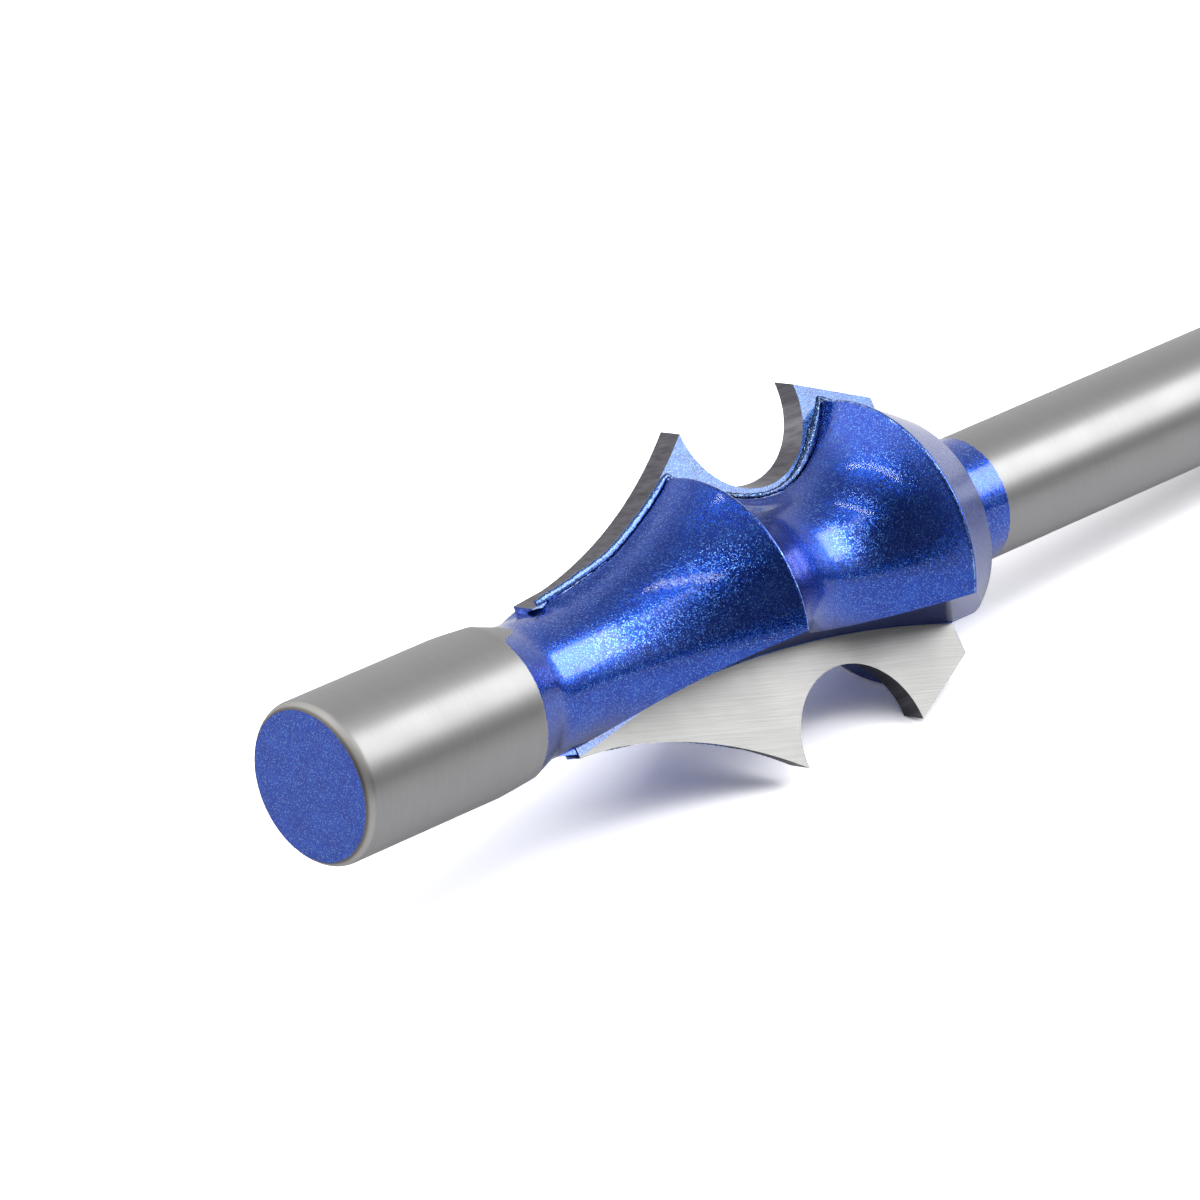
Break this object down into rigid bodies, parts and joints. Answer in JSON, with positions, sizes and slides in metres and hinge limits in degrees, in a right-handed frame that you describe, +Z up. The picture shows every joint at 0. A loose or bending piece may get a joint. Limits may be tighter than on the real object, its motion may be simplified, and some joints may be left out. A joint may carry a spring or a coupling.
{
  "type": "router bit",
  "caption": "Plain-shank profile cutter for wood, with winged carbide tips brazed on a lacquered steel body and a solid guide pilot at its end.",
  "frame": {"origin": "on the shank's axis, where the lacquered neck meets the bare shank", "axes": "+X from the pilot towards the shank's end, level; +Z up as the bit rests on a level surface; the bit's axis dips 4.6 degrees towards the shank's end"},
  "size_m": [0.1103, 0.0182, 0.0191],
  "materials": {
    "lacquered_steel": "gloss blue metallic lacquer on the head, bare ground steel on the shank and the pilot",
    "carbide": "tungsten carbide, ground on the rake face and the edges",
    "silver_solder": "silver solder film, lacquered over where it shows"
  },
  "bodies": {
    "root": {"body": "lacquered_steel", "upper_tip": "carbide", "lower_tip": "carbide", "upper_braze": "silver_solder", "lower_braze": "silver_solder"}
  },
  "joints": []
}
